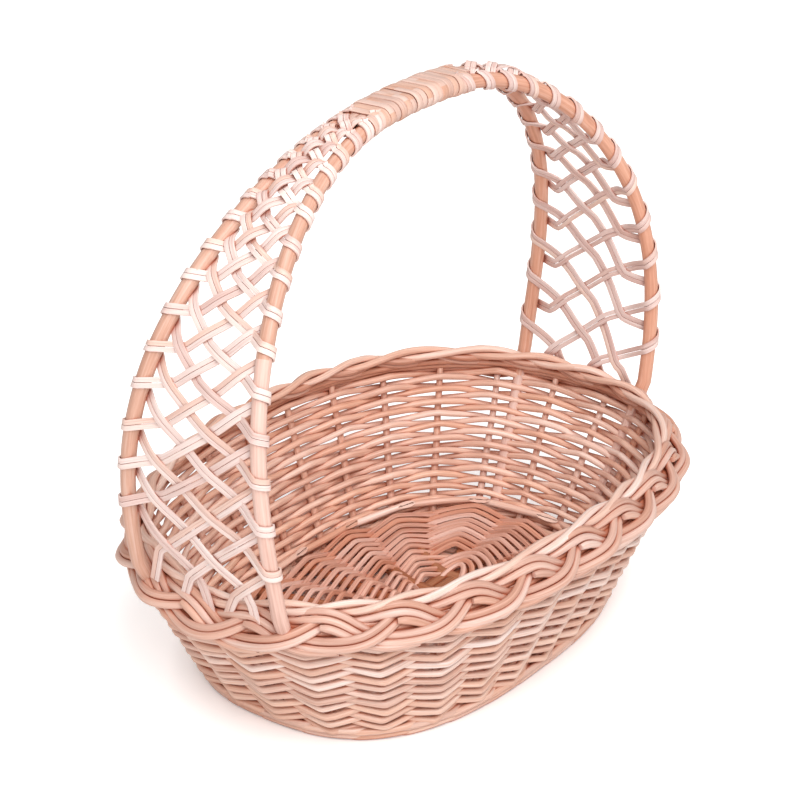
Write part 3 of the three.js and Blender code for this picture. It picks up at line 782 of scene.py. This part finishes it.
reach = np.r_[0.0, 18.0, np.linspace(22, END_LENGTH, 12)]
z = END_HEIGHT - END_DROP * reach / END_LENGTH
depth = END_DEPTH - END_BEND * (reach / END_LENGTH) ** 2
runs, inward = [], []
for k in range(END_COUNT):
    share = (k + 0.6 + 0.15 * rng.normal()) / END_COUNT + reach / base_length
    out = wall_out(share, z)
    runs.append((wall_point(share, z) - out * depth[:, None], END_RADIUS, rng.random()))
    inward.append(unit(UP - out[0]))
butts = rods("inner_rod_ends", runs, sides=END_SIDES)
spots = points_of(butts, END_COUNT, len(reach), END_SIDES)
for k, (line, _, _) in enumerate(runs):
    offset = spots[k, 0] - line[0] * MM
    spots[k, 0] += unit(line[1] - line[0]) * (CUT_SLANT * offset @ inward[k])[:, None]
butts.data.vertices.foreach_set("co", spots.ravel())
dress(butts, rod_willow, "willow_rod")

# %% Pith in the rod ends
butts.active_material_index = 1
bpy.ops.object.mode_set(mode="EDIT")
bpy.ops.mesh.select_mode(type="FACE")
bpy.ops.mesh.select_all(action="DESELECT")
bpy.ops.object.material_slot_select()
bpy.ops.mesh.inset(thickness=PITH_INSET * MM, use_individual=True)
bpy.ops.object.mode_set(mode="OBJECT")
butts.data.materials.append(pith_willow)
for polygon in butts.data.polygons:
    if polygon.loop_total > 4:
        polygon.material_index = 2
print("cut ends:", END_COUNT)

# %% [markdown]
# ## Handle bows
# Two long rods are bent into arches that stand side by side, close together at the top and well
# apart at the rim. They could be drawn as curves with a few handles, but the lacing has to find
# any point on them, so their line is a formula too.

# %% Bow lines
HANDLE_TOP = 344.5
BOW_RADIUS = 4.5
BOW_BULGE = 14.4
BOW_POWER = 2.51
ARCH_STEPS = 1440
BINDING_ROOM = 1.8
GRIP_HALF = 7.1
PLAIT_REACH = 5.8
# The feet stand beside a stake, further from it at the right end (1) than at the left.
FOOT_ASIDE = {-1: 6.7, 1: 10.2}
leg_share = {end: stake_shares[1] - aside / base_length for end, aside in FOOT_ASIDE.items()}
foot = {}
for end, share in leg_share.items():
    foot_z = rim_height(share) + PLAIT_REACH + BOW_RADIUS
    foot[end] = wall_point(np.array([share]), np.array([foot_z]))[0]
top_z = HANDLE_TOP - BOW_RADIUS - BINDING_ROOM


def bow_line(way):
    angle = np.linspace(0, math.pi, ARCH_STEPS + 1)
    c, s = np.cos(angle), np.maximum(np.sin(angle), 0)
    rise = s ** (2 / BOW_POWER)
    start = np.where(c[:, None] >= 0, foot[1], foot[-1])
    half = start[:, 0] + BOW_BULGE * np.sin(math.pi * s ** 0.8)
    x = half * np.sign(c) * np.abs(c) ** (2 / BOW_POWER)
    y = GRIP_HALF + (start[:, 1] - GRIP_HALF) * (1 - rise * rise)
    line = np.stack([x, way * y, start[:, 2] + (top_z - start[:, 2]) * rise], -1)
    return line, lengths(line)


bows = {way: bow_line(way) for way in (-1, 1)}
ARCH_LENGTH = bows[1][1][-1]


def on_bow(way, end, reach):
    """The point this far up a bow: front (-1) or back (1), from its left (-1) or right (1) foot."""
    line, marks = bows[way]
    reach = np.asarray(reach, float)
    goal = reach if end > 0 else ARCH_LENGTH - reach
    return along_line(goal, marks, line) + np.minimum(reach, 0.0)[..., None] * UP


print("arch:", round(ARCH_LENGTH), "mm")

# %% [markdown]
# Below the border each end of a bow is shaved flat and pushed down beside a stake. The rod is
# made round all the way, and then its lowest points are pressed towards the face of the wall.
# The front bow is shaved paler at its left end, up to a height that a wrap of the lacing hides.

# %% Bows and their shaved legs
BOW_POINTS = 150
BOW_SIDES = 14
LEG_TOP = 92.0
LEG_FOOT = 12.0
LEG_RADIUS = 2.6
LEG_POINTS = 16
LEG_WIDER = 0.35
LEG_FLATTER = 0.75
# The heights between which a leg thins, and goes flat.
THIN_LOW, THIN_HIGH = 70.0, 100.0
FLAT_LOW, FLAT_HIGH = 65.0, 90.0
SHAVED_TOP = on_bow(-1, -1, 151.5)[2]


def leg_line(share):
    z = np.linspace(rim_height(share) + 4, LEG_FOOT, LEG_POINTS)
    return wall_point(np.full(LEG_POINTS, share), z)


for way, name in ((-1, "handle_bow_front"), (1, "handle_bow_back")):
    arch = on_bow(way, 1, np.linspace(0, ARCH_LENGTH, BOW_POINTS))
    right, left = way * leg_share[1], 0.5 - way * leg_share[-1]
    line = np.vstack([leg_line(right)[::-1], arch, leg_line(left)])
    thick = BOW_RADIUS * (0.97 + wobble(np.linspace(0, 1, len(line)), 0.05, (3, 7, 17)))
    ease = np.clip((line[:, 2] - THIN_LOW) / (THIN_HIGH - THIN_LOW), 0, 1)
    thick = thick * ease + LEG_RADIUS * (1 - ease)
    bow = rods(name + "_rod", [(line, thick, 0.35 + 0.3 * rng.random())], sides=BOW_SIDES)
    offset = points_of(bow, len(line), BOW_SIDES) - line[:, None] * MM
    face = wall_face(np.where(line[:, 0] > 0, right, left), line[:, 2])[:, None]
    depth = np.sum(offset * face, axis=2, keepdims=True)
    flat = np.clip((FLAT_HIGH - line[:, 2]) / (FLAT_HIGH - FLAT_LOW), 0, 1)[:, None, None]
    offset = offset * (1 + LEG_WIDER * flat) - face * depth * LEG_FLATTER * flat
    bow.data.vertices.foreach_set("co", (line[:, None] * MM + offset).ravel())
    dress(bow, bow_willow, "bow_rod", name)
    bow.data.materials.append(leg_willow)
    for polygon in bow.data.polygons:
        middle = polygon.center
        shaved_high = way < 0 and middle.x < 0 and middle.z < SHAVED_TOP * MM
        if middle.z < LEG_TOP * MM or shaved_high:
            polygon.material_index = 2

# %% [markdown]
# ## Flat skeins
# The lacing and the grip are flat ribbons of split willow. A path with a flat bevel would twist
# in the bends, and a ribbon has to lie flat on what it wraps. So it is a strip of faces with its
# own sideways direction at every point. Solidify gives it thickness, and Bevel rounds its edges.

# %% Helpers: skeins
EDGE_ROUND = 0.36
EDGE_ANGLE = math.radians(60)


def strip_mesh(name, runs):
    corners, faces, places, tones = [], [], [], []
    for line, side, width, tone in runs:
        first = len(corners)
        half = np.broadcast_to(width, len(line))[:, None] / 2
        edges = (line - side * half) * MM, (line + side * half) * MM
        for a, b, r in zip(*edges, lengths(line) * MM):
            corners += [tuple(a), tuple(b)]
            r = r + GRAIN_SHIFT * float(np.mean(tone))
            places += [(r, 0.0), (r, float(np.mean(width)) * MM)]
        tones += np.repeat(np.broadcast_to(tone, len(line)), 2).tolist()
        for k in range(first, first + 2 * len(line) - 2, 2):
            faces.append((k, k + 1, k + 3, k + 2))
    mesh = bpy.data.meshes.new(name)
    mesh.from_pydata(corners, [], faces)
    uv = mesh.uv_layers.new(name="UVMap")
    for loop, spot in zip(mesh.loops, uv.data):
        spot.uv = places[loop.vertex_index]
    tones = np.array(tones, np.float32)
    mesh.attributes.new("tone", "FLOAT", "POINT").data.foreach_set("value", tones)
    return mesh


def skeins(name, runs, thickness):
    piece = bpy.data.objects.new(name, strip_mesh(name, runs))
    bpy.context.collection.objects.link(piece)
    bpy.ops.object.select_all(action="DESELECT")
    piece.select_set(True)
    bpy.context.view_layer.objects.active = piece
    bpy.ops.object.modifier_add(type="SOLIDIFY")
    solid = piece.modifiers[-1]
    solid.thickness, solid.offset = thickness * MM, 0.0
    bpy.ops.object.modifier_apply(modifier=solid.name)
    bpy.ops.object.modifier_add(type="BEVEL")
    bevel = piece.modifiers[-1]
    bevel.width, bevel.segments = EDGE_ROUND * thickness * MM, 2
    bevel.limit_method, bevel.angle_limit = "ANGLE", EDGE_ANGLE
    bpy.ops.object.modifier_apply(modifier=bevel.name)
    face_outwards(open_ends=False)
    bpy.ops.object.shade_smooth_by_angle(angle=SMOOTH_ANGLE)
    return piece


# %% [markdown]
# ## Lacing
# Laces climb each end of the handle. A lace is two skeins side by side: it goes half round one
# bow, crosses to the other bow two or three wraps higher, and passes over and under the laces
# that run the other way. A net could be drawn flat and bent to shape, but then the wraps would
# not close round the bows. So each lace is led wrap by wrap. Laces that cross pull each other
# aside, so their ways have bends.

# %% Helpers: half a turn round a bow
WRAP_RADIUS = BOW_RADIUS + 0.75
WRAP_POINTS = 14
# How far a wrap climbs at each end, and the shares before and after its middle.
WRAP_CLIMB = {-1: 4.0, 1: 11.0}
WRAP_BEFORE, WRAP_AFTER = 0.7, 0.3
HANDLE_HEART = np.array([0.0, 0.0, 120.0])


def bow_frame(way, end, reach):
    along = unit(on_bow(way, end, reach + 1.0) - on_bow(way, end, reach - 1.0))
    toward = unit(np.array([0.0, -way, 0.0]) + along * along[1] * way)
    out = unit(np.cross(along, toward))
    flip = np.dot(out, on_bow(way, end, reach) - HANDLE_HEART) < 0
    return along, toward, -out if flip else out


def half_wrap(way, end, reach):
    along, toward, out = bow_frame(way, end, reach)
    angle = np.linspace(1.5 * math.pi, 0.5 * math.pi, WRAP_POINTS)
    climb = WRAP_CLIMB[end] * np.linspace(-WRAP_BEFORE, WRAP_AFTER, WRAP_POINTS)
    radial = toward * np.cos(angle)[:, None] + out * np.sin(angle)[:, None]
    return on_bow(way, end, reach) + radial * WRAP_RADIUS + along * climb[:, None], radial


# %% Helper: from one bow across to the other
CROSSING_POINTS = 30
# At the left end each lace has one kink: its place, and its dip at a low and at a high level.
LACE_KINKS = {-1: (0.55, (60, 110), (0.04, 0.19)), 1: (0.26, (10, 130), (0.08, 0.17))}
# At the right end: how far a lace has climbed at each part of its way, for the bow it leaves.
LACE_BENDS = {
    -1: ((0, 0.24, 0.36, 0.49, 0.69, 1), (0, 0.07, 0.32, 0.56, 0.76, 1)),
    1: ((0, 0.17, 0.28, 0.64, 1), (0, 0.0, 0.2, 0.70, 1)),
}
# How deep the lowest ends go into the border at each end, and how far outwards.
LACE_TUCK = {-1: (20.0, -1.0), 1: (16.0, 3.0)}
TUCK_PART = 0.1
# How far the lowest crossings hang down towards the border.
LACE_DROOP = {-1: 11.0, 1: 0.0}
LACE_LIFT = 1.0
LEAVE_PART = 0.22
# Near the grip there is no room between the bows, so the laces arch over the top.
ARCH_LIFT = 6.0
ARCH_LOW, ARCH_HIGH = 190.0, 250.0
CROWD_LOW, CROWD_HIGH = 170.0, 240.0


def crossing(start, finish, end, crossings, begin=0.0):
    (way_a, low), (way_b, high) = start, finish
    part = np.linspace(begin, 1, CROSSING_POINTS + 2)[1:-1]
    if end > 0:
        ease = np.interp(part, *LACE_BENDS[way_a])
    else:
        place, levels, dips = LACE_KINKS[way_a]
        ease = part - np.interp(low, levels, dips) * np.interp(part, (0, place, 1), (0, 1, 0))
    level = low + (high - low) * ease
    sink = np.clip(1 - (part - begin) / TUCK_PART, 0, 1) ** 1.5 * (begin > 0)
    if begin > 0:
        level = level - LACE_DROOP[end] * ((1 - part) / (1 - begin)) ** 2
    level = level - (level[0] + LACE_TUCK[end][0]) * sink
    across = way_a + (way_b - way_a) * part
    front, back = on_bow(-1, end, level), on_bow(1, end, level)
    sheet = front + (back - front) * ((across + 1) / 2)[:, None]
    outs = unit(np.array([bow_frame(1, end, v)[2] for v in level]) * np.array([1, 0, 1]))
    leave = np.clip(1 - part / LEAVE_PART, 0, 1) ** 2
    meet = np.clip((part - 1 + LEAVE_PART) / LEAVE_PART, 0, 1) ** 2
    weave = np.sin(math.pi * ((crossings + 1) * part - 0.5)) * np.sin(math.pi * part) ** 0.4
    order = 1 if way_a < 0 or crossings % 2 == 0 else -1
    crowd = 1 + np.clip((level - CROWD_LOW) / (CROWD_HIGH - CROWD_LOW), 0, 1.6)
    lift = WRAP_RADIUS * (leave - meet) - LACE_LIFT * crowd * order * weave
    high_up = np.clip((level - ARCH_LOW) / (ARCH_HIGH - ARCH_LOW), 0, 1)
    arch = ARCH_LIFT * high_up * np.sin(math.pi * part) ** 0.5
    return sheet + outs * (lift + arch + LACE_TUCK[end][1] * sink)[:, None], outs


# %% Helper: one lace from the border to the grip
LACE_TOP = 324.0
LAST_CLIMB = 24.0
LAST_POINTS = 9


def lace(way, first, end, stops, climbs, begin):
    """The middle line of a lace, and where its outer face looks."""
    crossings = climbs[-1] + climbs[1] - 1
    here, k, sign = way, first, 1.0
    parts = []
    before = (-way, stops[-way][k - climbs[-way]])
    while k in stops[here] and stops[here][k] < LACE_TOP:
        wrap = stops[here][k]
        after = (here, wrap - WRAP_BEFORE * WRAP_CLIMB[end])
        path, outs = crossing(before, after, end, crossings, begin)
        parts.append((path, outs * sign))
        sign = -sign
        path, radial = half_wrap(here, end, wrap)
        parts.append((path, radial * sign))
        before = (here, wrap + WRAP_AFTER * WRAP_CLIMB[end])
        k, here, begin = k + climbs[here], -here, 0.0
    path, outs = crossing(before, (here, before[1] + LAST_CLIMB), end, crossings)
    parts.append((path[:LAST_POINTS], outs[:LAST_POINTS] * sign))
    return [np.vstack(column) for column in zip(*parts)]


print("laces stop", round(ARCH_LENGTH / 2 - LACE_TOP), "mm before the top")

# %% [markdown]
# The plan of the lacing is read from the photograph. Wraps come closer together towards the grip.
# For each end it gives the first wrap, the step and how much the step closes up, on the front
# bow (-1) and the back bow (1); how many wraps a lace climbs on its way from each bow; and where
# the lowest laces leave the border, from -1 at the front bow to 1 at the back bow.

# %% Lacing at both ends
LACE_PLAN = {
    "left": (-1, {-1: (31.0, 26.8, 0.55), 1: (42.0, 25.6, 0.52)}, {-1: 2, 1: 3},
             {-1: (-0.2, 0.4, 0.82), 1: (-0.08, -0.72)}),
    "right": (1, {-1: (30.0, 29.5, 0.45), 1: (26.0, 30.2, 0.42)}, {-1: 3, 1: 2},
              {-1: (0.03, 0.77), 1: (0.29, -0.36, -0.78)}),
}
PAIR_WIDTH = 6.3
SKEIN_WIDTH = 2.85
SKEIN_THICKNESS = 1.1
for side_name, (end, plan, climbs, tucks) in LACE_PLAN.items():
    stops = {}
    for way, (first, step, closing) in plan.items():
        k = np.arange(-4, 16)
        reach = first + step * k - closing * k * np.abs(k) + rng.normal(0, 0.9, len(k))
        stops[way] = dict(zip(k.tolist(), reach.tolist()))
    runs = []
    for way in (-1, 1):
        for first in range(climbs[-way]):
            begin = (tucks[way][first] + way) / (2 * way)
            line, face = lace(way, first, end, stops, climbs, begin)
            side = unit(np.cross(unit(np.gradient(line, axis=0)), face))
            for half in (-1, 1):
                middle = line + side * (half * PAIR_WIDTH / 4)
                runs.append((middle, side, SKEIN_WIDTH, rng.random()))
    net = skeins(f"lacing_{side_name}_skeins", runs, SKEIN_THICKNESS)
    dress(net, skein_willow, "willow_skein", f"lacing_{side_name}", ends=False)

# %% [markdown]
# ## Grip
# At the top a wider skein is bound round both bows, turn beside turn, with small slits. Rings
# would be simpler, but a binding is one long spiral. Its tails lie lengthwise under the turns
# and look out at both ends.

# %% Helpers: round both bows
BINDING_RADIUS = BOW_RADIUS + 1.3


def grip_ring(part):
    """Places and directions round both bows, for parts of a turn."""
    half = 2 * GRIP_HALF + math.pi * BINDING_RADIUS
    goal = np.mod(part, 1.0) * 2 * half
    # The lower half is the upper half turned round.
    sign = np.where(goal < half, 1.0, -1.0)
    goal = np.mod(goal, half)
    turn = np.maximum(goal - 2 * GRIP_HALF, 0) / BINDING_RADIUS
    ny, nz = sign * np.sin(turn), sign * np.cos(turn)
    y = sign * (np.minimum(goal, 2 * GRIP_HALF) - GRIP_HALF) + BINDING_RADIUS * ny
    return y, BINDING_RADIUS * nz, ny, nz


def grip_spine(reach):
    spine = (on_bow(-1, 1, reach) + on_bow(1, 1, reach)) / 2
    along = unit(np.gradient(spine, axis=0))
    return spine, along, np.stack([along[:, 2], np.zeros(len(reach)), -along[:, 0]], -1)


print("one turn of the binding:", round(4 * GRIP_HALF + 2 * math.pi * BINDING_RADIUS), "mm")

# %% Grip binding
GRIP_LENGTH = 97.0
GRIP_SHIFT = 3.0
GRIP_TURNS = 19
GRIP_SKEIN = 5.3
GRIP_THICKNESS = 1.0
POINTS_PER_TURN = 36
TAIL_POINTS = 40
TAIL_EXTRA = 18.0
TAIL_PLACES = (-2.4, 2.4)
TAIL_HEIGHT = 4.4
TAIL_WIDTH = 4.4
ACROSS = np.array([0.0, 1.0, 0.0])
grip_middle = ARCH_LENGTH / 2 + GRIP_SHIFT
turns = np.linspace(0, GRIP_TURNS, GRIP_TURNS * POINTS_PER_TURN)
reach = grip_middle + (turns / GRIP_TURNS - 0.5) * (GRIP_LENGTH - GRIP_SKEIN)
spine, along, upward = grip_spine(reach)
y, z, ny, nz = grip_ring(turns)
# No turn lies quite flat.
lift = 0.25 * np.sin(turns * 2.4 + 0.7) + 0.15 * np.sin(turns * 5.1)
line = spine + ACROSS * (y + ny * lift)[:, None] + upward * (z + nz * lift)[:, None]
marks = np.arange(GRIP_TURNS + 1)
width = GRIP_SKEIN * np.interp(turns, marks, rng.uniform(0.78, 1.02, GRIP_TURNS + 1))
shade = np.interp(turns, marks, rng.uniform(0.1, 0.8, GRIP_TURNS + 1))
runs = [(line, along, width, shade)]
reach = grip_middle + np.linspace(-0.5, 0.5, TAIL_POINTS) * (GRIP_LENGTH + TAIL_EXTRA)
spine, _, upward = grip_spine(reach)
side = np.tile(ACROSS, (TAIL_POINTS, 1))
for place in TAIL_PLACES:
    line = spine + side * place + upward * TAIL_HEIGHT
    runs.append((line, side, TAIL_WIDTH, rng.random()))
grip = skeins("grip_binding_skein", runs, GRIP_THICKNESS)
dress(grip, grip_willow, "willow_skein", "grip_binding", ends=False)

# %% [markdown]
# ## Floor and light
# The photograph is a bright product picture with a white paper sweep and a faint shadow under the
# basket. More light would make the paper white, but it would bleach the willow too. So the paper
# glows a little for the camera only. Under the basket no light reaches it, so there is no glow.

# %% Floor
FLOOR_METRES = 30.0
PAPER = "#f6f3f1"
SHADOW_HALF_METRES = (0.15, 0.11)
SHADOW_EDGE = (0.8, 1.15)
PAPER_GLOW = 0.45
bpy.ops.mesh.primitive_plane_add(size=FLOOR_METRES, location=(0, 0, 0))
floor = bpy.context.object
floor.name = "studio_floor"
# Matt paper: bright, with no shine.
white = bpy.data.materials.new("white_paper_sweep")
white.use_nodes = True
tree = white.node_tree
shader = tree.nodes["Principled BSDF"]
shader.inputs["Base Color"].default_value = linear(PAPER)
shader.inputs["Roughness"].default_value = 0.9
rays = add(tree, "LightPath")
place = add(tree, "TexCoord").outputs["Object"]
shrink = (1 / SHADOW_HALF_METRES[0], 1 / SHADOW_HALF_METRES[1], 0.0)
place = add(tree, "VectorMath", {0: place, 1: shrink}, operation="MULTIPLY")
away = add(tree, "VectorMath", {0: place.outputs[0]}, operation="LENGTH")
open_air = add(tree, "MapRange", {"Value": away.outputs["Value"], "From Min": SHADOW_EDGE[0],
                                  "From Max": SHADOW_EDGE[1], "To Max": PAPER_GLOW})
seen = add(tree, "Math", {0: rays.outputs["Is Camera Ray"], 1: open_air.outputs[0]},
           operation="MULTIPLY")
glow = add(tree, "Emission", {"Color": linear("#ffffff"), "Strength": seen.outputs[0]})
both = add(tree, "AddShader", {0: shader.outputs[0], 1: glow.outputs[0]})
tree.links.new(both.outputs[0], tree.nodes["Material Output"].inputs["Surface"])
floor.data.materials.append(white)
print("floor:", FLOOR_METRES, "m")

# %% [markdown]
# One strong lamp would throw hard shadows that the photograph doesn't have. So a white world gives
# light from all round, and three softboxes add a little from above and from the left.

# %% World and lamps
WORLD_LIGHT = 0.55
WORLD_SEEN = 1.0
# Name, place and goal in millimetres, width in metres, power in watts.
LAMPS = (
    ("softbox_left", (-1100, -1150, 1350), (0, 0, 120), 0.9, 20.0),
    ("softbox_top", (-300, -900, 1900), (0, 0, 120), 1.4, 20.0),
    ("softbox_low", (-1400, -500, 450), (0, 0, 80), 1.0, 1.8),
)
world = bpy.data.worlds.new("white_studio")
bpy.context.scene.world = world
world.use_nodes = True
tree = world.node_tree
rays = add(tree, "LightPath")
strength = add(tree, "MapRange", {"Value": rays.outputs["Is Camera Ray"], "To Min": WORLD_LIGHT,
                                  "To Max": WORLD_SEEN})
backdrop = tree.nodes["Background"]
backdrop.inputs["Color"].default_value = linear("#ffffff")
tree.links.new(strength.outputs[0], backdrop.inputs["Strength"])
for name, place, goal, size, power in LAMPS:
    bpy.ops.object.light_add(type="AREA")
    lamp = bpy.context.object
    lamp.name = name
    lamp.data.shape, lamp.data.size, lamp.data.energy = "DISK", size, power
    aim(lamp, np.array(place, float), np.array(goal, float))
bpy.context.scene.view_settings.view_transform = "Standard"
print("lamps:", len(LAMPS))
